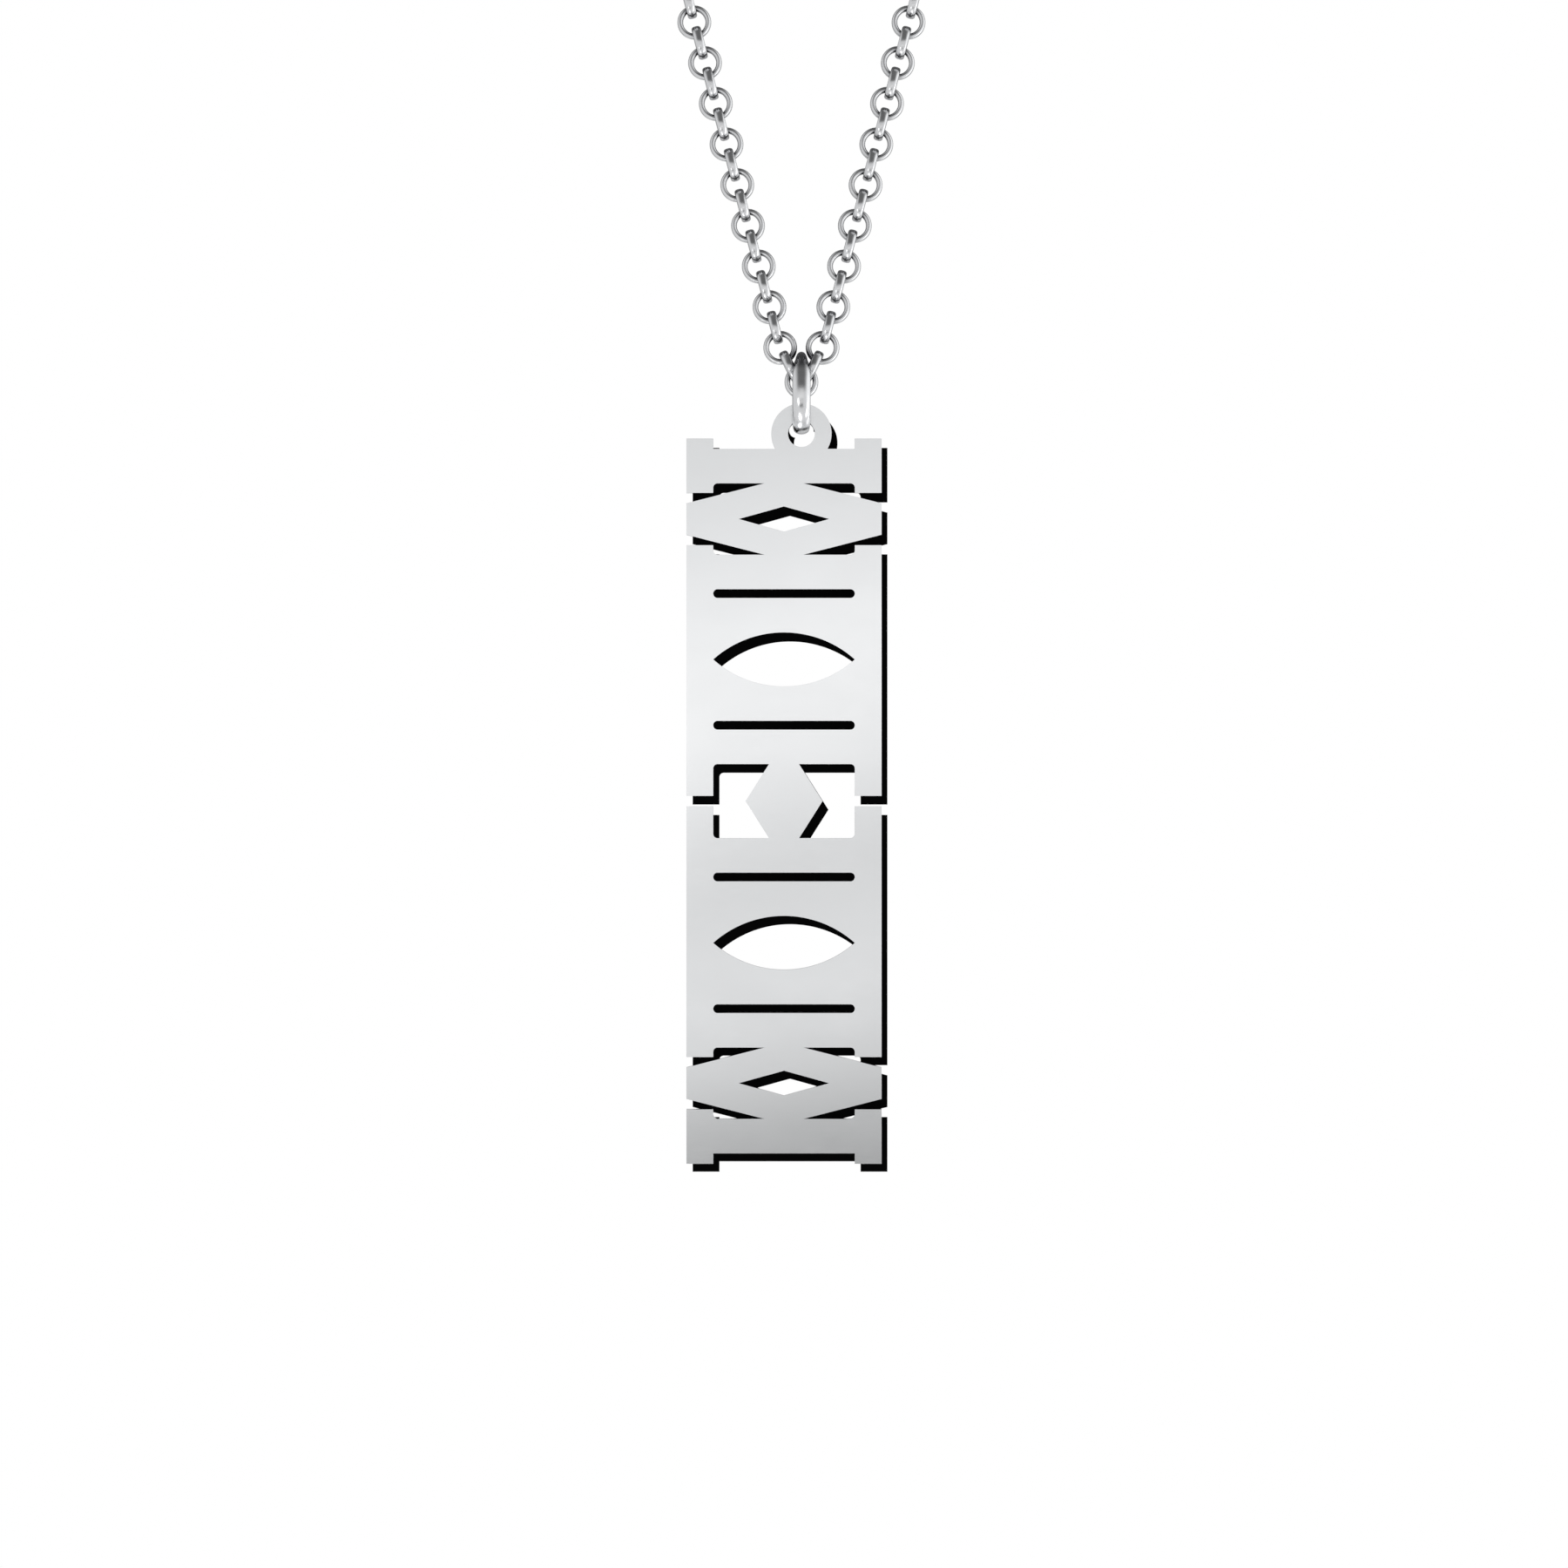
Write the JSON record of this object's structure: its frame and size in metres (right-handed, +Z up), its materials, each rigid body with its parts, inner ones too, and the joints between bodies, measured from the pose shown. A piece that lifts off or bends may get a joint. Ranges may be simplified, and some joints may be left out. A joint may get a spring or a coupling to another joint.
{
  "type": "nameplate necklace",
  "caption": "Rolo chain necklace with a tapered bail ring and an upright pierced plate over a black backing plate of the same outline.",
  "frame": {"origin": "middle of the clasp, where the chain rests on the nape", "axes": "+Z up, the necklace's front faces -Y, +X to the right as seen from the front"},
  "size_m": [0.0904, 0.0884, 0.2168],
  "materials": {
    "plate_steel": "fine satin stainless steel",
    "black_steel": "deep black satin coating",
    "polished_steel": "polished stainless steel"
  },
  "bodies": {
    "chain": {"chain_front": "polished_steel", "chain_back": "polished_steel", "clasp": "polished_steel"},
    "bail": {"bail_ring": "polished_steel"},
    "pendant": {"front_plate": "plate_steel", "back_plate": "black_steel"}
  },
  "joints": [
    {"name": "bail_swing", "type": "hinge", "parent": "chain", "child": "bail", "pos_m": [0, -0.085, -0.1659], "axis": [1, 0, 0], "range_deg": [-8, 8]},
    {"name": "pendant_swing", "type": "hinge", "parent": "bail", "child": "pendant", "pos_m": [0, -0.085, -0.17002], "axis": [0, 1, 0], "range_deg": [-25, 25]}
  ]
}
